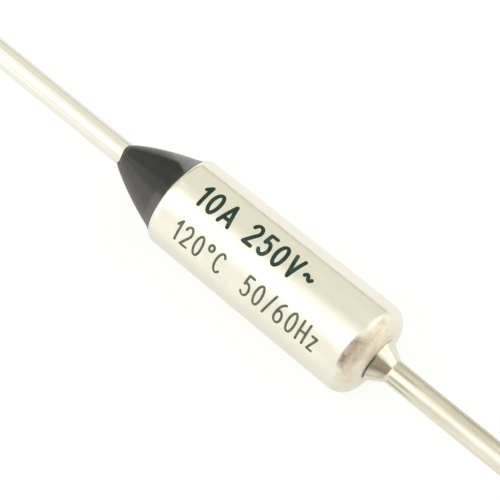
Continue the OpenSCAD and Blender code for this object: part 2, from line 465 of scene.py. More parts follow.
@dataclass(frozen=True)
class PlatedMetal:
    """A bright metal with drawing marks, dulled patches, hair scratches, worn spots and painted light and
    shade.
    """

    name: str
    colour: Colour
    dull_colour: Colour
    roughness: Pair
    grain: Grain
    grain_per_mm: float = 7.0
    grain_depth: float = 0.0012
    grain_share: float = 0.45
    patches_per_mm: float = 0.7
    patch_share: float = 0.55
    dull_share: float = 0.5
    scratch_cells: float = 1.1
    scratch_width: float = 0.006
    scratch_depth: float = 0.0015
    spot_speckle_per_mm: float = 3.2
    spots: tuple[WornSpot, ...] = ()

    def material(self, effects: SurfaceEffects) -> Material:
        """Builds the finish.

        Args:
            effects: the shared node groups.

        Returns:
            The material.
        """
        surface = Surface(self.name)
        graph = surface.graph
        drawn = graph.vector("MULTIPLY", surface.point, self.grain.value)
        marks = surface.effect(effects.grain, drawn, Marks_per_mm=self.grain_per_mm)
        dull = surface.effect(effects.tarnish, drawn, Patches_per_mm=self.patches_per_mm,
                              Amount=self.dull_share)
        hair = surface.effect(effects.scratches, Cells_per_mm=self.scratch_cells, Width=self.scratch_width)
        # This speckle breaks up the worn spots and the spots of painted light and shade alike.
        spot_speckle = surface.effect(effects.speckle, drawn, Grains_per_mm=self.spot_speckle_per_mm)
        rough = graph.math("ADD", graph.math("MULTIPLY", marks.outputs["Mask"], self.grain_share),
                           graph.math("MULTIPLY", dull.outputs["Mask"], self.patch_share), clamp=True)
        colour, roughness, dents = surface.lay_worn_and_painted_spots(
            self.spots, spot_speckle, graph.blend(dull.outputs["Mask"], self.colour, self.dull_colour),
            graph.remap(rough, 0.0, 1.0, *self.roughness),
        )
        surface.set(Base_Color=colour, Roughness=roughness, Metallic=1.0)
        surface.bump((marks.outputs["Height"], self.grain_depth),
                     (hair.outputs["Height"], self.scratch_depth), *dents)
        return surface.material


@dataclass(frozen=True)
class CastResin:
    """A dark cast resin with a skin gloss, painted light on its side towards −Y and painted highlights by its
    mouth, thinning to brown at its tip.
    """

    name: str = "black resin"
    colour: Colour = (0.012, 0.0118, 0.0108)
    light_colour: Colour = (0.024, 0.0235, 0.021)
    thin_colour: Colour = (0.075, 0.038, 0.022)
    thin_share: float = 0.85
    thin_from: float = -7.55
    thin_to: float = -7.85
    roughness: Pair = (0.15, 0.26)
    ior: float = 1.45
    dust_per_mm: float = 5.0
    dust_depth: float = 0.0012
    patches_per_mm: float = 0.8
    patch_share: float = 0.8
    # Painted light: the side towards −Y paler as if lit, and paler grey highlights on the flare by the mouth.
    painted_light_spots: tuple[WornSpot, ...] = (
        WornSpot(WHOLE_CASE, -78.0, (0.60, 1.0), (0.056, 0.052, 0.046), 0.4, 0.001, patchy=0.15),
        WornSpot((-6.6, -5.6, -4.9, -4.8), 48.0, (0.91, 0.96), (0.110, 0.113, 0.111), 0.3, 0.001,
                 patchy=0.15),
        WornSpot((-6.42, -6.12, -4.0, -3.9), 60.0, (0.60, 0.70), (0.130, 0.133, 0.130), 0.3, 0.001, bow=4.1,
                 patchy=0.15),
        WornSpot((-5.55, -5.3, -4.9, -4.8), -58.0, (0.82, 0.95), (0.085, 0.083, 0.078), 0.4, 0.001,
                 patchy=0.15),
    )

    def material(self, effects: SurfaceEffects) -> Material:
        """Builds the finish.

        Args:
            effects: the shared node groups.

        Returns:
            The material.
        """
        surface = Surface(self.name)
        graph = surface.graph
        dust = surface.effect(effects.speckle, Grains_per_mm=self.dust_per_mm)
        cloud = surface.effect(effects.tarnish, Patches_per_mm=self.patches_per_mm, Amount=self.patch_share)
        thin = graph.remap(surface.axis_x(), self.thin_to, self.thin_from, self.thin_share, 0.0, smooth=True)
        body, gloss, dents = surface.lay_worn_and_painted_spots(
            self.painted_light_spots, dust, graph.blend(cloud.outputs["Mask"], self.colour, self.light_colour),
            graph.remap(cloud.outputs["Mask"], 0.0, 1.0, *self.roughness),
        )
        surface.set(Base_Color=graph.blend(thin, body, self.thin_colour), Roughness=gloss, IOR=self.ior)
        surface.bump((dust.outputs["Height"], self.dust_depth), *dents)
        return surface.material


@dataclass(frozen=True)
class StampedInk:
    """A thin stamped ink that lies uneven on the plating and fades on one side of it."""

    name: str = "stamped ink"
    colour: Colour = (0.006, 0.026, 0.019)
    thin_colour: Colour = (0.075, 0.115, 0.092)
    thin_low: float = 0.55
    roughness: Pair = (0.38, 0.55)
    ior: float = 1.35
    patches_per_mm: float = 1.6
    patch_share: float = 0.9
    flecks_per_mm: float = 9.0
    fleck_depth: float = 0.001
    faded: WornSpot = WornSpot(WHOLE_CASE, -60.0, (0.62, 0.92), (0.135, 0.165, 0.125), 0.5, 0.0, patchy=0.5)

    def material(self, effects: SurfaceEffects) -> Material:
        """Builds the finish.

        Args:
            effects: the shared node groups.

        Returns:
            The material.
        """
        surface = Surface(self.name)
        graph = surface.graph
        cover = surface.effect(effects.tarnish, Patches_per_mm=self.patches_per_mm, Amount=self.patch_share)
        flecks = surface.effect(effects.speckle, Grains_per_mm=self.flecks_per_mm)
        spread = graph.remap(flecks.outputs["Mask"], 0.0, 1.0, self.thin_low, 1.0)
        thin = graph.math("MULTIPLY", cover.outputs["Mask"], spread)
        pale = self.faded.mask(surface, flecks.outputs["Mask"])
        surface.set(
            Base_Color=graph.blend(pale, graph.blend(thin, self.colour, self.thin_colour), self.faded.colour),
            Roughness=graph.remap(flecks.outputs["Mask"], 0.0, 1.0, *self.roughness),
            IOR=self.ior,
        )
        surface.bump((flecks.outputs["Height"], self.fleck_depth))
        return surface.material


@dataclass(frozen=True)
class GrainySolid:
    """A dry body of fine grains, such as fired ceramic or pressed powder."""

    name: str
    colour: Colour
    fleck_colour: Colour
    roughness: Pair
    grains_per_mm: float
    depth: float

    def material(self, effects: SurfaceEffects) -> Material:
        """Builds the finish.

        Args:
            effects: the shared node groups.

        Returns:
            The material.
        """
        surface = Surface(self.name)
        graph = surface.graph
        grains = surface.effect(effects.speckle, Grains_per_mm=self.grains_per_mm)
        surface.set(
            Base_Color=graph.blend(grains.outputs["Mask"], self.colour, self.fleck_colour),
            Roughness=graph.remap(grains.outputs["Mask"], 0.0, 1.0, *self.roughness),
        )
        surface.bump((grains.outputs["Height"], self.depth))
        return surface.material


@dataclass
class Profile:
    """The half section of a turned piece: a chain of (radius, x) points in mm."""

    points: list[Pair] = field(default_factory=list)

    def line(self, radius: float, x: float, steps: int = 1) -> "Profile":
        """Goes straight to a point.

        Args:
            radius: the point's distance from the axis.
            x: the point's place along the axis.
            steps: how many pieces the line is cut into.

        Returns:
            The profile itself.
        """
        if not self.points:
            self.points.append((radius, x))
            return self
        start_r, start_x = self.points[-1]
        for i in range(1, steps + 1):
            share = i / steps
            self.points.append((start_r + (radius - start_r) * share, start_x + (x - start_x) * share))
        return self

    def arc(self, centre: Pair, radius: float, start: float, end: float, steps: int) -> "Profile":
        """Goes round a circle.

        Args:
            centre: the circle's centre as (radius, x).
            radius: the circle's own radius.
            start: first angle in degrees, 0 away from the axis and 90 along +X.
            end: last angle in degrees.
            steps: how many pieces the arc is cut into.

        Returns:
            The profile itself.
        """
        for i in range(steps + 1):
            angle = math.radians(start + (end - start) * i / steps)
            point = (centre[0] + radius * math.cos(angle), centre[1] + radius * math.sin(angle))
            if not self.points or math.dist(point, self.points[-1]) > TINY:
                self.points.append(point)
        return self

    def bend(self, handle: Pair, end: Pair, steps: int) -> "Profile":
        """Goes along a curve that a handle pulls.

        Args:
            handle: the point that the curve leans towards.
            end: where the curve ends.
            steps: how many pieces the curve is cut into.

        Returns:
            The profile itself.
        """
        start = self.points[-1]
        for i in range(1, steps + 1):
            t = i / steps
            self.points.append(tuple(
                (1 - t) ** 2 * a + 2 * t * (1 - t) * b + t ** 2 * c for a, b, c in zip(start, handle, end)
            ))
        return self


@dataclass
class Piece:
    """A piece of the object, its material slot and the CAD node that it stands for."""

    name: str
    slot: Optional[Slot] = None
    node: Optional[str] = None
    crease: float = 35.0

    def form(self) -> BMesh:
        """Makes the shape in metres, in each class its own way."""
        raise NotImplementedError

    def build(self, material: Material) -> Object:
        """Makes the piece in place of its CAD node.

        Args:
            material: its finish.

        Returns:
            The piece, linked into the scene and riding on the body.
        """
        form = self.form()
        bmesh.ops.recalc_face_normals(form, faces=form.faces[:])
        mesh = bpy.data.meshes.new(self.name)
        form.to_mesh(mesh)
        form.free()
        mesh.shade_smooth()
        mesh.set_sharp_from_angle(angle=math.radians(self.crease))
        piece = bpy.data.objects.new(self.name, mesh)
        bpy.context.scene.collection.objects.link(piece)
        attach(piece, BODY)
        self.dress(piece, material)
        return piece

    def dress(self, piece: Object, material: Material) -> None:
        """Gives the piece its finish and hides the CAD node that it stands for.

        Args:
            piece: the piece.
            material: its finish.
        """
        piece.data.materials.append(material)
        if self.node is not None:
            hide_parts(self.node)
        LOG.info("piece %s: %d faces, finish %s", piece.name, len(piece.data.polygons), material.name)


@dataclass
class TurnedPiece(Piece):
    """A piece that is turned round the X axis."""

    sides: int = 96
    closed: bool = False

    def section(self) -> Profile:
        """Draws the half section, which starts and ends on the axis or is a closed loop."""
        raise NotImplementedError

    def moved(self, radius: float, x: float, angle: float) -> Pair:
        """Leaves a point of the section, at an angle from +Z to +Y, where it is."""
        return radius, x

    def form(self) -> BMesh:
        """Turns the half section round the axis.

        Returns:
            The form in metres.
        """
        form = bmesh.new()
        rings: list[list[BMVert]] = []
        for radius, x in self.section().points:
            ring = []
            for i in range(self.sides if radius > TINY else 1):
                angle = math.tau * i / self.sides
                r, place = self.moved(radius, x, angle)
                ring.append(form.verts.new((place * MM, r * math.sin(angle) * MM, r * math.cos(angle) * MM)))
            rings.append(ring)
        pairs = list(zip(rings, rings[1:])) + ([(rings[-1], rings[0])] if self.closed else [])
        for near, far in pairs:
            for i in range(self.sides):
                j = (i + 1) % self.sides
                corners = [near[i % len(near)], near[j % len(near)], far[j % len(far)], far[i % len(far)]]
                form.faces.new(list(dict.fromkeys(corners)))
        return form


@dataclass
class CaseShell(TurnedPiece):
    """The drawn metal cup: rounded closed end, slightly tapered tube and swaged mouth."""

    name: str = "case_shell"
    slot: Optional[Slot] = Slot.SILVER_PLATE
    node: Optional[str] = "case"
    sides: int = 192
    closed: bool = True
    radius: float = 2.0
    taper: float = 0.06
    length: float = 10.1
    wall: float = 0.25
    floor: float = 0.7
    end_round: float = 0.8
    floor_fillet: float = 0.2
    swage_radius: float = 0.32
    swage_angle: float = 75.0
    rivet_radius: float = 0.55
    rivet_head_radius: float = 0.9
    rivet_head: float = 0.3
    hole_edge: float = 0.1

    @property
    def mouth_x(self) -> float:
        """Gives where the mouth's edge lies."""
        return -self.length / 2

    @property
    def end_x(self) -> float:
        """Gives where the closed end's face lies."""
        return self.length / 2

    @property
    def swage_centre(self) -> Pair:
        """Gives the centre of the mouth's inward bend."""
        drop = self.swage_radius * math.sin(math.radians(self.swage_angle))
        return self.radius - self.taper - self.swage_radius, self.mouth_x + drop

    @property
    def swage_inside(self) -> float:
        """Gives the inner radius of the mouth's inward bend."""
        return self.radius - self.wall - self.swage_centre[0]

    def skin(self, x: float) -> float:
        """Gives the tube's outer radius at a place along it."""
        start, end = self.swage_centre[1], self.end_x - self.end_round
        return self.radius - self.taper * (end - x) / (end - start)

    def bent(self, angle: float) -> Pair:
        """Gives the (radius, x) of a point so many degrees round the outside of the mouth's bend."""
        turn = math.radians(angle)
        return (self.swage_centre[0] + self.swage_radius * math.cos(turn),
                self.swage_centre[1] - self.swage_radius * math.sin(turn))

    def section(self) -> Profile:
        """Draws the wall as a closed loop, from the rivet hole round the outside and back inside.

        Returns:
            The half section.
        """
        inner, seat = self.radius - self.wall, self.end_x - self.floor
        turn, fillet = self.end_round, self.floor_fillet
        profile = Profile()
        profile.line(self.rivet_radius, self.end_x).line(self.radius - turn, self.end_x, steps=8)
        profile.arc((self.radius - turn, self.end_x - turn), turn, 90.0, 0.0, steps=28)
        profile.line(self.radius - self.taper, self.swage_centre[1], steps=48)
        profile.arc(self.swage_centre, self.swage_radius, 0.0, -self.swage_angle, steps=28)
        profile.arc(self.swage_centre, self.swage_inside, -self.swage_angle, 0.0, steps=12)
        profile.line(inner, seat - fillet, steps=24)
        profile.arc((inner - fillet, seat - fillet), fillet, 0.0, 90.0, steps=6)
        profile.line(self.rivet_head_radius, seat, steps=4)
        profile.line(self.rivet_radius, seat + self.rivet_head, steps=2)
        profile.line(self.rivet_radius, self.end_x - self.hole_edge, steps=2)
        return profile


@dataclass
class Wire(TurnedPiece):
    """A tinned wire with a plain chamfer at its outer end."""

    slot: Optional[Slot] = Slot.TINNED_WIRE
    radius: float = 0.5
    chamfer: float = 0.08
    chamfer_round: float = 0.01
    tip_x: float = 0.0


@dataclass
class CaseLead(Wire):
    """The wire riveted through the closed end, with its conical collar."""

    name: str = "case_lead_wire"
    node: Optional[str] = "case_lead"
    tip_x: float = 32.5
    end_x: float = 5.05
    collar_radius: float = 0.93
    collar_length: float = 0.72
    collar_lean: float = 31.0
    collar_rim: float = 0.02
    shoulder: float = 0.02
    rivet_radius: float = 0.55
    rivet_head_radius: float = 0.9
    rivet_head: float = 0.3
    floor: float = 0.7

    def section(self) -> Profile:
        """Draws the rivet tail, the collar and the wire from the inner axis point to the outer one.

        Returns:
            The half section.
        """
        inside = self.end_x - self.floor
        rim = (self.collar_radius - self.collar_rim, self.end_x + self.collar_rim)
        lean = math.radians(self.collar_lean)
        foot = (rim[0] + self.collar_rim * math.cos(lean), rim[1] + self.collar_rim * math.sin(lean))
        top_x = self.end_x + self.collar_length
        top_r = foot[0] - (top_x - foot[1]) * math.tan(lean)
        corner = (self.radius - self.chamfer_round, self.tip_x - self.chamfer_round)
        profile = Profile().line(0.0, inside).line(self.rivet_head_radius, inside, steps=5)
        profile.line(self.rivet_radius, inside + self.rivet_head, steps=2)
        profile.line(self.rivet_radius, self.end_x, steps=2).line(rim[0], self.end_x, steps=3)
        profile.arc(rim, self.collar_rim, -90.0, self.collar_lean, steps=10)
        profile.line(top_r + self.shoulder * math.tan(lean), top_x - self.shoulder, steps=12)
        profile.bend((top_r, top_x), (top_r - self.shoulder, top_x), steps=4)
        profile.bend((self.radius, top_x), (self.radius, top_x + self.shoulder), steps=3)
        profile.line(self.radius, self.tip_x - self.chamfer, steps=60)
        profile.bend(corner, (self.radius - self.chamfer, self.tip_x), steps=5)
        return profile.line(0.0, self.tip_x, steps=4)


@dataclass
class IsolatedLead(Wire):
    """The insulated wire, with its keying waist, flange and contact tip inside."""

    name: str = "isolated_lead_wire"
    node: Optional[str] = "isolated_lead"
    tip_x: float = -32.5
    waist_from: float = -7.77
    waist_to: float = -4.9465
    waist_depth: float = 0.07
    waist_steps: int = 24
    flange_x: float = -3.0465
    flange_radius: float = 0.8
    flange: float = 0.25
    contact_x: float = -1.6465
    contact_round: float = 0.12

    def waist(self) -> list[Pair]:
        """Lists the points of the stretch that the resin grips, from its outer end to its inner end.

        Returns:
            The points as (radius, x).
        """
        half = (self.waist_to - self.waist_from) / 2
        bow = (half ** 2 + self.waist_depth ** 2) / (2 * self.waist_depth)
        points = []
        for i in range(self.waist_steps + 1):
            x = self.waist_from + i * (self.waist_to - self.waist_from) / self.waist_steps
            off = x - (self.waist_from + self.waist_to) / 2
            points.append((self.radius - self.waist_depth + bow - math.sqrt(bow ** 2 - off ** 2), x))
        return points

    def section(self) -> Profile:
        """Draws the wire from its outer end to its contact tip.

        Returns:
            The half section.
        """
        corner = (self.radius - self.chamfer_round, self.tip_x + self.chamfer_round)
        flange_end, turn = self.flange_x + self.flange, self.contact_round
        profile = Profile().line(0.0, self.tip_x).line(self.radius - self.chamfer, self.tip_x, steps=4)
        profile.bend(corner, (self.radius, self.tip_x + self.chamfer), steps=5)
        profile.line(self.radius, self.waist_from, steps=60)
        profile.points.extend(self.waist()[1:])
        profile.line(self.radius, self.flange_x, steps=4).line(self.flange_radius, self.flange_x, steps=2)
        profile.line(self.flange_radius, flange_end).line(self.radius, flange_end, steps=2)
        profile.line(self.radius, self.contact_x - turn, steps=4)
        profile.arc((self.radius - turn, self.contact_x - turn), turn, 0.0, 90.0, steps=6)
        return profile.line(0.0, self.contact_x, steps=3)


@dataclass
class ResinCone(TurnedPiece):
    """The cast cone that seals the mouth, with an uneven thin edge on the wire."""

    name: str = "sealing_resin_cone"
    slot: Optional[Slot] = Slot.BLACK_RESIN
    node: Optional[str] = "sealing_resin"
    sides: int = 160
    closed: bool = True
    lead: IsolatedLead = field(default_factory=IsolatedLead)
    case: CaseShell = field(default_factory=CaseShell)
    length: float = 2.82
    edge: float = 0.02
    edge_length: float = 0.03
    edge_share: float = 0.06
    flare_length: float = 0.34
    flare_height: float = 0.19
    flare_pull: Pair = (0.62, 0.5)
    swell: float = 0.07
    lap: float = 19.0
    bushing_x: float = -4.8465
    film: float = 0.008
    flank_steps: int = 40
    creep: float = 0.09
    creep_reach: float = 1.1
    creep_waves: int = 3
    creep_turn: float = 12.0
    creep_noise: float = 0.2
    creep_density: float = 1.9

    @property
    def tip_x(self) -> float:
        """Gives where the cone ends on the wire."""
        return self.case.mouth_x - self.length

    @property
    def rim(self) -> Pair:
        """Gives where the flare ends on the lip."""
        return self.case.bent(self.case.swage_angle - self.lap)

    def flank(self, share: float) -> Pair:
        """Gives a point of the swelling flank.

        Args:
            share: 0 at the tip and 1 at the flare.

        Returns:
            The point as (radius, x).
        """
        tip = (self.lead.radius + self.edge, self.tip_x)
        rise, run = self.rim[0] - self.flare_height - tip[0], self.case.mouth_x - self.flare_length - tip[1]
        out = 4 * self.swell * share * (1 - share) / math.hypot(rise, run)
        return tip[0] + rise * share + run * out, tip[1] + run * share - rise * out

    def section(self) -> Profile:
        """Draws the cone as a closed loop, from the wire over the flank and back along the waist.

        Returns:
            The half section.
        """
        rim, wire, first = self.rim, self.lead.radius, self.edge_share
        centre, bend, inside = self.case.swage_centre, self.case.swage_angle, self.case.swage_inside
        seat = math.degrees(math.asin((centre[1] - self.bushing_x) / inside))
        pull_in, pull_back = self.flare_pull
        pull = (rim[0] - self.flare_height * pull_in, rim[1] - self.flare_length * pull_back)
        profile = Profile().line(wire, self.tip_x).line(wire + self.film, self.tip_x)
        profile.bend((wire + self.edge / 2, self.tip_x + self.edge_length), self.flank(first), steps=6)
        for i in range(1, self.flank_steps + 1):
            profile.line(*self.flank(first + (1 - first) * i / self.flank_steps))
        profile.bend(pull, rim, steps=12)
        profile.arc(centre, self.case.swage_radius, self.lap - bend, -bend, steps=6)
        profile.arc(centre, inside, -bend, -seat, steps=4)
        profile.line(wire, self.bushing_x, steps=6)
        profile.points.extend(reversed(self.lead.waist()))
        return profile

    def moved(self, radius: float, x: float, angle: float) -> Pair:
        """Lets the thin edge wander along the wire, as cast resin creeps.

        Args:
            radius: a point's distance from the axis.
            x: its place along the axis.
            angle: its angle from +Z to +Y.

        Returns:
            The moved point as (radius, x).
        """
        if x > self.lead.waist_from + TINY and radius <= self.lead.radius + TINY:
            return radius, x
        reach = max(0.0, min(1.0, (self.tip_x + self.creep_reach - x) / self.creep_reach)) ** 2
        around = Vector((math.cos(angle), math.sin(angle), 0.0))
        wave = math.cos(self.creep_waves * (angle - math.radians(self.creep_turn)))
        wander = (1 - wave) / 2 + self.creep_noise * noise.noise(around * self.creep_density)
        return radius, x + self.creep * wander * reach


class StrokeLetters:
    """Plain round-ended letters, drawn as centre lines on caps one unit high."""

    def __init__(self) -> None:
        """Draws every letter as its width and its strokes."""
        bow, wave_steps = self.bow, 16
        self.glyphs: dict[str, tuple[float, list[Stroke]]] = {
            " ": (0.26, []),
            "0": (0.48, [bow(0.24, 0.5, 0.24, 0.5, 90, 270), bow(0.24, 0.5, 0.24, 0.5, 270, 450)]),
            "1": (0.22, [[(0.0, 0.76), (0.2, 1.0)], [(0.2, 1.0), (0.2, 0.0)]]),
            "2": (0.46, [bow(0.23, 0.73, 0.23, 0.27, 168, -32) + [(0.0, 0.0)], [(0.0, 0.0), (0.46, 0.0)]]),
            "5": (0.46, [[(0.43, 1.0), (0.08, 1.0)], [(0.08, 1.0), (0.045, 0.56)],
                         bow(0.21, 0.32, 0.25, 0.32, 130, -145)]),
            "6": (0.48, [bow(0.44, 0.30, 0.44, 0.70, 98, 178), bow(0.24, 0.3, 0.24, 0.3, 90, 270),
                         bow(0.24, 0.3, 0.24, 0.3, 270, 450)]),
            "A": (0.62, [[(0.0, 0.0), (0.31, 1.0)], [(0.31, 1.0), (0.62, 0.0)],
                         [(0.08, 0.27), (0.54, 0.27)]]),
            "C": (0.46, [bow(0.27, 0.5, 0.27, 0.5, 48, 312)]),
            "H": (0.46, [[(0.0, 0.0), (0.0, 1.0)], [(0.46, 0.0), (0.46, 1.0)], [(0.0, 0.52), (0.46, 0.52)]]),
            "V": (0.52, [[(0.0, 1.0), (0.26, 0.0)], [(0.26, 0.0), (0.52, 1.0)]]),
            "z": (0.34, [[(0.0, 0.66), (0.34, 0.66)], [(0.34, 0.66), (0.0, 0.0)], [(0.0, 0.0), (0.34, 0.0)]]),
            "/": (0.34, [[(0.0, -0.04), (0.34, 1.04)]]),
            "~": (0.46, [[(0.46 * i / wave_steps, 0.5 + 0.1 * math.sin(math.tau * i / wave_steps))
                          for i in range(wave_steps + 1)]]),
            "°": (0.32, [bow(0.16, 0.85, 0.16, 0.15, 90, 270), bow(0.16, 0.85, 0.16, 0.15, 270, 450)]),
        }

    @staticmethod
    def bow(x: float, y: float, wide: float, high: float, start: float, end: float) -> Stroke:
        """Draws a stretch of an ellipse.

        Args:
            x: its centre across.
            y: its centre up.
            wide: half its width.
            high: half its height.
            start: first angle in degrees, 0 to the right and 90 up.
            end: last angle in degrees.

        Returns:
            The points of the stretch.
        """
        least_steps, degrees_per_step = 4, 11
        steps = max(least_steps, int(abs(end - start) / degrees_per_step))
        angles = [math.radians(start + (end - start) * i / steps) for i in range(steps + 1)]
        return [(x + wide * math.cos(a), y + high * math.sin(a)) for a in angles]

    @staticmethod
    def ribbon(stroke: Stroke, half: float) -> Stroke:
        """Gives a stroke its width and round ends.

        Args:
            stroke: the centre line.
            half: half the width.

        Returns:
            The outline, against the clock.
        """
        cap_steps = 7
        points = [Vector(p) for p in stroke]
        ways = [(b - a).normalized() for a, b in zip(points, points[1:])]
        ways = [ways[0]] + [(a + b).normalized() for a, b in zip(ways, ways[1:])] + [ways[-1]]
        right = [(p.x + half * w.y, p.y - half * w.x) for p, w in zip(points, ways)]
        left = [(p.x - half * w.y, p.y + half * w.x) for p, w in zip(points, ways)]

        def cap(centre: Vector, way: Vector) -> Stroke:
            """Rounds the end that lies on the way."""
            turns = [math.atan2(-way.x, way.y) + math.pi * i / cap_steps for i in range(1, cap_steps)]
            return [(centre.x + half * math.cos(a), centre.y + half * math.sin(a)) for a in turns]

        return right + cap(points[-1], ways[-1]) + left[::-1] + cap(points[0], -ways[0])

    def flat(self, words: str, height: float, pitch: float, condense: float, weight: float) -> BMesh:
        """Lays a row out flat and joins its strokes into one skin.

        Args:
            words: what the row says.
            height: height of its caps.
            pitch: space between letters.
            condense: width of the letters against their drawn width.
            weight: width of a stroke.

        Returns:
            The flat form, with x along the row and y from its middle.
        """
        form = bmesh.new()
        at = 0.0
        for letter in words:
            width, strokes = self.glyphs[letter]
            scale = height - weight
            outlines = []
            for stroke in strokes:
                line = [(at + x * condense * scale, (y - 0.5) * scale) for x, y in stroke]
                outlines.append(self.ribbon(line, weight / 2))
            at += width * condense * scale + pitch
            if not outlines:
                continue
            points = [Vector(p) for outline in outlines for p in outline]
            firsts = [sum(map(len, outlines[:i])) for i in range(len(outlines))]
            faces = [list(range(f, f + len(o))) for f, o in zip(firsts, outlines)]
            corners, _, cells, _, _, owners = delaunay_2d_cdt(points, [], faces, 0, TINY)
            verts = [form.verts.new((c.x, c.y, 0.0)) for c in corners]
            for cell, owner in zip(cells, owners):
                if owner:
                    form.faces.new([verts[i] for i in cell])
        bmesh.ops.delete(form, geom=[v for v in form.verts if not v.link_faces], context="VERTS")
        return form


@dataclass(frozen=True)
class PrintRow:
    """One stamped row: its words, where it starts and how it is lettered."""

    words: str
    start_x: float
    angle: float
    height: float
    pitch: float
    condense: float
    weight: float


@dataclass
class RatingPrint(Piece):
    """Plain electrical ratings stamped on the tube in two rows."""

    name: str = "rating_print"
    crease: float = 60.0
    case: CaseShell = field(default_factory=CaseShell)
    film: float = 0.003
    sunk: float = 0.0008
    strip: float = 0.07
    rows: tuple[PrintRow, ...] = (
        PrintRow("10A 250V~", start_x=-3.84, angle=4.0, height=1.05,
                 pitch=0.30, condense=0.86, weight=0.16),
        PrintRow("120°C  50/60Hz", start_x=-3.84, angle=-47.0, height=0.96,
                 pitch=0.26, condense=0.77, weight=0.105),
    )

    def form(self) -> BMesh:
        """Wraps the rows, cut into strips, round the tube as a film with its own thickness.

        Returns:
            The form in metres.
        """
        form = bmesh.new()
        letters = StrokeLetters()
        for row in self.rows:
            part = letters.flat(row.words, row.height, row.pitch, row.condense, row.weight)
            count = int(row.height / self.strip) + 1
            for i in range(1, count):
                bmesh.ops.bisect_plane(
                    part, geom=part.verts[:] + part.edges[:] + part.faces[:], dist=TINY,
                    plane_co=(0.0, row.height * (i / count - 0.5), 0.0), plane_no=(0.0, 1.0, 0.0),
                )
            top = bmesh.ops.extrude_face_region(part, geom=part.faces[:])["geom"]
            raised = {g for g in top if isinstance(g, BMVert)}
            for v in part.verts:
                x, skin = row.start_x + v.co.x, self.case.skin(row.start_x + v.co.x)
                angle = math.radians(row.angle) + v.co.y / skin
                r = skin + (self.film if v in raised else -self.sunk)
                v.co = Vector((x, r * math.sin(angle), r * math.cos(angle))) * MM
            mesh = bpy.data.meshes.new("row")
            part.to_mesh(mesh)
            part.free()
            form.from_mesh(mesh)
            bpy.data.meshes.remove(mesh)
        return form


@dataclass
class SwitchInside:
    """The hidden switch: its CAD nodes keep their shape and get their finishes."""

    finishes: dict[str, Union[PlatedMetal, GrainySolid]]

    def dress(self, effects: SurfaceEffects) -> None:
        """Gives each hidden node its finish.

        Args:
            effects: the shared node groups.
        """
        made: dict[str, Material] = {}
        for node, finish in self.finishes.items():
            if finish.name not in made:
                made[finish.name] = finish.material(effects)
            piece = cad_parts[node]
            for slot in piece.material_slots:
                slot.material = made[finish.name]
            LOG.info("node %s: finish %s", node, finish.name)


@dataclass(frozen=True)
class Softbox:
    """A rectangular lamp that faces the object, with its distance and size in metres."""

    name: str
    toward: tuple[float, float, float]
    distance: float
    size: Pair
    radiance: float
    colour: Colour

    def build(self) -> Object:
        """Makes the lamp.

        Returns:
            The lamp's object.
        """
        light = bpy.data.lights.new(self.name, "AREA")
        light.shape = "RECTANGLE"
        light.size, light.size_y = self.size
        light.energy = self.radiance * math.pi * self.size[0] * self.size[1]
        light.color = self.colour
        lamp = bpy.data.objects.new(self.name, light)
        direction = Vector(self.toward).normalized()
        lamp.location = direction * self.distance
        lamp.rotation_euler = direction.to_track_quat("Z", "X").to_euler()
        lamp.visible_glossy = False
        bpy.context.scene.collection.objects.link(lamp)
        return lamp


@dataclass(frozen=True)
class TentPatch:
    """A round part of the light tent with a tone of its own."""

    toward: tuple[float, float, float]
    edge: Pair
    colour: Colour

    def share(self, graph: NodeGraph, way: Socket) -> Socket:
        """Gives how much of the patch a way out of the tent meets."""
        near = graph.vector("DOT_PRODUCT", way, Vector(self.toward).normalized())
        return graph.rise(near, *self.edge)


@dataclass(frozen=True)
class TentBand:
    """A long soft strip of light in the tent, along the wires, that fades out towards +X."""

    angle: float
    spread: float
    fade: Pair
    colour: Colour

    def share(self, graph: NodeGraph, way: Socket) -> Socket:
        """Gives how much of the strip a way out of the tent meets."""
        across = graph.fall(graph.math("ARCCOSINE", graph.facing(way, self.angle)), 0.0,
                            math.radians(self.spread))
        return graph.math("MULTIPLY", across, graph.fall(graph.axis(way, 0), *self.fade))


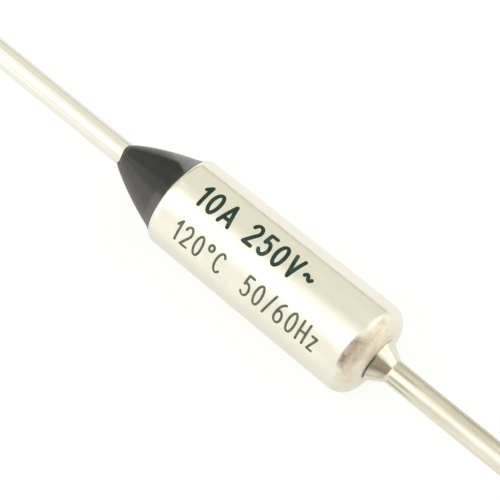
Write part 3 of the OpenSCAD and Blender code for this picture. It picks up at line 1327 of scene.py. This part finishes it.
@dataclass
class Studio:
    """Camera, pale floor, soft tent of light and the lamps."""

    camera_at: tuple[float, float, float] = (18.323, -22.340, 70.865)
    camera_aim: tuple[float, float, float] = (-1.397, 0.055, 0.400)
    lens: float = 144.0
    sensor: float = 36.0
    clip_start: float = 0.001
    floor_z: float = -2.0
    floor_size: float = 3000.0
    floor_colour: Colour = (0.92, 0.92, 0.90)
    floor_mottle: float = 0.985
    floor_patches_per_mm: float = 0.02
    floor_roughness: float = 0.9
    floor_white: float = 1.02
    floor_glow: float = 0.85
    floor_mirrored: float = 0.3
    tent_colour: Colour = (1.04, 1.03, 0.97)
    patches: tuple[Union[TentPatch, TentBand], ...] = (
        TentPatch((-0.60, 0.72, 0.35), (0.52, 0.66), (0.88, 0.87, 0.77)),
        TentPatch((-0.72, 0.67, 0.17), (0.93, 0.99), (0.62, 0.60, 0.53)),
        TentPatch((-0.76, -0.64, 0.02), (0.83, 1.0), (1.90, 1.90, 1.85)),
        TentPatch((0.20, 0.62, 0.76), (0.93, 0.98), (1.45, 1.45, 1.40)),
        TentPatch((0.56, 0.70, 0.42), (0.78, 0.90), (1.45, 1.45, 1.40)),
        TentBand(angle=-28.5, spread=39.0, fade=(0.0, 0.2), colour=(1.5, 1.5, 1.47)),
        TentPatch((-0.40, 0.223, 0.889), (0.9968, 0.9992), (1.5, 1.5, 1.47)),
        TentPatch((0.74, -0.49, 0.46), (0.80, 0.89), (0.42, 0.35, 0.275)),
        TentPatch((0.50, -0.35, 0.79), (0.90, 0.98), (0.40, 0.34, 0.28)),
    )
    horizon_share: float = 0.9
    horizon_colour: Colour = (0.28, 0.26, 0.22)
    horizon_height: Pair = (0.0, 0.11)
    horizon_side: Pair = (0.2, 0.6)
    lamps: tuple[Softbox, ...] = (
        Softbox("key softbox", toward=(-0.24, -0.41, 0.88), distance=0.26, size=(0.34, 0.16),
                radiance=1.1, colour=(1.0, 0.99, 0.96)),
    )

    def camera(self) -> None:
        """Sets the camera at the photograph's place."""
        data = bpy.data.cameras.new("camera")
        data.lens = self.lens
        data.sensor_width = self.sensor
        data.clip_start = self.clip_start
        camera = bpy.data.objects.new("camera", data)
        place, aim = Vector(self.camera_at) * MM, Vector(self.camera_aim) * MM
        camera.location = place
        camera.rotation_euler = (aim - place).to_track_quat("-Z", "Y").to_euler()
        bpy.context.scene.collection.objects.link(camera)
        bpy.context.scene.camera = camera

    def floor(self) -> None:
        """Lays the pale floor under the case."""
        half = self.floor_size / 2
        mesh = bpy.data.meshes.new("floor")
        corners = [(-half, -half), (half, -half), (half, half), (-half, half)]
        mesh.from_pydata([(x * MM, y * MM, self.floor_z * MM) for x, y in corners], [], [(0, 1, 2, 3)])
        floor = bpy.data.objects.new("floor", mesh)
        bpy.context.scene.collection.objects.link(floor)
        surface = Surface("pale floor")
        graph = surface.graph
        mottle = graph.noise(surface.point, self.floor_patches_per_mm, detail=2.0)
        darker = tuple(self.floor_mottle * c for c in self.floor_colour)
        surface.set(Base_Color=graph.blend(mottle, self.floor_colour, darker), Roughness=self.floor_roughness)
        seen = graph.add("ShaderNodeLightPath")
        mirrored = graph.math("MAXIMUM", seen.outputs["Is Glossy Ray"], seen.outputs["Is Transmission Ray"])
        share = graph.math("MAXIMUM", graph.math("MULTIPLY", seen.outputs["Is Camera Ray"], self.floor_glow),
                           graph.math("MULTIPLY", mirrored, self.floor_mirrored))
        glow = graph.add("ShaderNodeEmission")
        glow.inputs["Strength"].default_value = self.floor_white
        both = graph.add("ShaderNodeMixShader")
        graph.feed(both.inputs[0], share)
        graph.feed(both.inputs[1], surface.shader.outputs["BSDF"])
        graph.feed(both.inputs[2], glow.outputs[0])
        output = next(n for n in graph.tree.nodes if n.type == "OUTPUT_MATERIAL")
        graph.feed(output.inputs["Surface"], both.outputs[0])
        mesh.materials.append(surface.material)

    def world(self) -> None:
        """Lights the tent: warm and dimmer on the far side, with a dark opening beside the camera."""
        world = bpy.data.worlds.new("tent")
        bpy.context.scene.world = world
        world.use_nodes = True
        graph = NodeGraph(world.node_tree)
        way = graph.add("ShaderNodeTexCoord").outputs["Generated"]
        tone: Feed = self.tent_colour
        for patch in self.patches:
            tone = graph.blend(patch.share(graph, way), tone, patch.colour)
        low = graph.fall(graph.axis(way, 2), *self.horizon_height)
        far = graph.rise(graph.axis(way, 1), *self.horizon_side)
        dim = graph.math("MULTIPLY", graph.math("MULTIPLY", low, far), self.horizon_share)
        tone = graph.blend(dim, tone, self.horizon_colour)
        light = graph.add("ShaderNodeBackground")
        graph.feed(light.inputs["Color"], tone)
        output = graph.add("ShaderNodeOutputWorld")
        graph.feed(output.inputs["Surface"], light.outputs[0])

    def build(self) -> None:
        """Sets up the camera, the floor, the tent and the lamps."""
        self.camera()
        self.floor()
        self.world()
        for lamp in self.lamps:
            lamp.build()
        bpy.context.scene.view_settings.view_transform = "Standard"


RUBBED_END = WornSpot((4.18, 4.3, 4.45, 4.85), -26.0, (0.5, 0.85), (0.86, 0.735, 0.61), 0.5, 0.016, bow=1.8,
                      patchy=0.6)
# A dark red line where the closed end's round starts, on the side towards −Y.
DARK_RED_ROUND_LINE = WornSpot((4.15, 4.24, 4.36, 4.62), -31.0, (0.91, 0.97), (0.29, 0.18, 0.14), 0.45, 0.012, bow=1.0,
                    patchy=0.4)
DULLED_END = WornSpot((4.25, 4.8, 9.0, 10.0), -20.0, (0.1, 0.8), (0.84, 0.765, 0.63), 0.55, 0.012,
                      patchy=0.45)
DULL_SHOULDER = WornSpot((4.42, 4.55, 4.68, 4.82), 6.0, (0.90, 0.97), (0.66, 0.60, 0.48), 0.5, 0.010,
                         patchy=0.4)
# Painted shade: a darker strip along the tube's edge on the +Y side.
PAINTED_SHADE_TUBE_EDGE = WornSpot(WHOLE_CASE, 62.0, (0.913, 0.97), (0.82, 0.80, 0.735), 0.22, 0.0, patchy=0.2)
# Painted shade: a darker strip along the tube's side towards −Y, by the floor.
PAINTED_SHADE_TUBE_UNDERSIDE = WornSpot(WHOLE_CASE, -95.0, (0.85, 0.966), (0.78, 0.77, 0.71), 0.25, 0.0, patchy=0.2)
# Painted shadow: a near-black line on the mouth's bend, on the +Y side, where the resin meets the lip.
PAINTED_SHADOW_LIP_LINE = WornSpot((-9.0, -8.9, -4.95, -4.91), 22.0, (0.72, 0.97), (0.014, 0.013, 0.008), 0.5, 0.0,
                    patchy=0.1)
# Painted shade: the closed end's round darker on its side towards −Y, by the floor.
PAINTED_SHADE_END_UNDERSIDE = WornSpot((4.3, 4.5, 5.0, 5.05), -75.0, (0.85, 0.95), (0.74, 0.715, 0.61), 0.4, 0.008,
                          patchy=0.4)
# The case lead's wire darker and tan on its +Y side: partly tarnish from handling, partly painted shade.
HANDLED_AND_PAINTED_SHADE_WIRE = WornSpot(WHOLE_CASE_WIRE, 45.0, (0.45, 0.85), (0.44, 0.385, 0.27), 0.2, 0.003, patchy=0.75)
# Painted shade: a dark line along the case lead's edge on the +Y side.
PAINTED_SHADE_WIRE_EDGE = WornSpot(WHOLE_CASE_WIRE, 52.0, (0.86, 0.96), (0.50, 0.47, 0.37), 0.2, 0.003, patchy=0.3)
# Painted shade: the collar darker and browner on its side towards −Y.
PAINTED_SHADE_COLLAR_SIDE = WornSpot((5.08, 5.15, 5.7, 5.78), -55.0, (0.90, 0.97), (0.44, 0.40, 0.33), 0.3, 0.004,
                       patchy=0.5)
# Painted shadow: a dark brown band where the collar meets the closed end, on the side towards −Y.
PAINTED_CONTACT_SHADOW_COLLAR_FOOT = WornSpot((4.9, 5.0, 5.08, 5.15), -52.0, (0.66, 0.86), (0.10, 0.075, 0.05), 0.4, 0.004,
                       patchy=0.2)
# Painted shade: thin dark streaks along the wire just past the collar.
PAINTED_SHADE_STREAKS = tuple(
    WornSpot((5.8, 5.9, 6.5, 7.3), side, (0.988, 0.998), (0.42, 0.38, 0.29), 0.2, 0.003, patchy=0.4)
    for side in (-2.0, -42.0, -70.0)
)
# Painted shade: the isolated lead darker along its edge on the +Y side.
PAINTED_SHADE_LEAD_EDGE = WornSpot(WHOLE_LEAD_WIRE, 55.0, (0.84, 0.96), (0.76, 0.75, 0.69), 0.2, 0.003, patchy=0.3)
# Painted shade: the isolated lead darker on its side towards −Y.
PAINTED_SHADE_LEAD_UNDERSIDE = WornSpot(WHOLE_LEAD_WIRE, -75.0, (0.70, 0.90), (0.795, 0.80, 0.75), 0.2, 0.003, patchy=0.3)
SILVER_PLATE = PlatedMetal("silver plate", (0.865, 0.850, 0.755), (0.74, 0.69, 0.58), (0.16, 0.27),
                           Grain.NONE, grain_per_mm=2.2, grain_depth=0.004, dull_share=0.4,
                           spots=(PAINTED_SHADE_TUBE_EDGE, PAINTED_SHADE_TUBE_UNDERSIDE, DULLED_END, DULL_SHOULDER, PAINTED_SHADE_END_UNDERSIDE,
                                  RUBBED_END, DARK_RED_ROUND_LINE, PAINTED_SHADOW_LIP_LINE))
BRIGHT_TIN = PlatedMetal("bright tin", (0.88, 0.87, 0.79), (0.76, 0.73, 0.62), (0.14, 0.28), Grain.ALONG,
                         grain_per_mm=9.0, grain_depth=0.003, patches_per_mm=2.5, dull_share=0.5,
                         spots=(PAINTED_SHADE_LEAD_EDGE, PAINTED_SHADE_LEAD_UNDERSIDE))
# The case lead's tin: darker and warmer than the bright tin, partly tarnish, partly painted shade.
TARNISHED_AND_SHADED_TIN = PlatedMetal("tarnished tin with painted shade", (0.80, 0.775, 0.665), (0.62, 0.58, 0.48), (0.12, 0.24), Grain.ALONG,
                       grain_per_mm=9.0, grain_depth=0.003, patches_per_mm=3.5, dull_share=0.8,
                       spots=(HANDLED_AND_PAINTED_SHADE_WIRE, PAINTED_SHADE_WIRE_EDGE, PAINTED_SHADE_COLLAR_SIDE, PAINTED_CONTACT_SHADOW_COLLAR_FOOT, *PAINTED_SHADE_STREAKS))
SPRING_STEEL = PlatedMetal("spring steel", (0.56, 0.55, 0.53), (0.40, 0.37, 0.33), (0.22, 0.42), Grain.NONE)
CONTACT_SILVER = PlatedMetal("contact silver", (0.92, 0.91, 0.86), (0.72, 0.66, 0.54), (0.16, 0.34),
                             Grain.ALONG)
DISC_BRASS = PlatedMetal("disc brass", (0.78, 0.62, 0.33), (0.52, 0.38, 0.20), (0.22, 0.42), Grain.NONE)
BUSHING_CERAMIC = GrainySolid("fired ceramic", (0.83, 0.80, 0.70), (0.70, 0.66, 0.56), (0.45, 0.65),
                              grains_per_mm=9.0, depth=0.004)
PELLET_ORGANIC = GrainySolid("pressed pellet", (0.74, 0.66, 0.42), (0.60, 0.51, 0.30), (0.55, 0.80),
                             grains_per_mm=6.0, depth=0.010)


def main() -> None:
    """Builds the studio and the pieces in order."""
    logging.basicConfig(level=logging.INFO, format="%(message)s")
    Studio().build()
    effects = SurfaceEffects()
    case, lead = CaseShell(), IsolatedLead()
    case.build(SILVER_PLATE.material(effects))
    lead.build(BRIGHT_TIN.material(effects))
    CaseLead().build(TARNISHED_AND_SHADED_TIN.material(effects))
    ResinCone(lead=lead, case=case).build(CastResin().material(effects))
    RatingPrint(case=case).build(StampedInk().material(effects))
    SwitchInside({
        "ceramic_bushing": BUSHING_CERAMIC,
        "trip_spring": SPRING_STEEL,
        "star_contact": CONTACT_SILVER,
        "contact_disc": DISC_BRASS,
        "main_spring": SPRING_STEEL,
        "pellet_disc": DISC_BRASS,
        "melting_pellet": PELLET_ORGANIC,
    }).dress(effects)


if __name__ == "__main__":
    main()
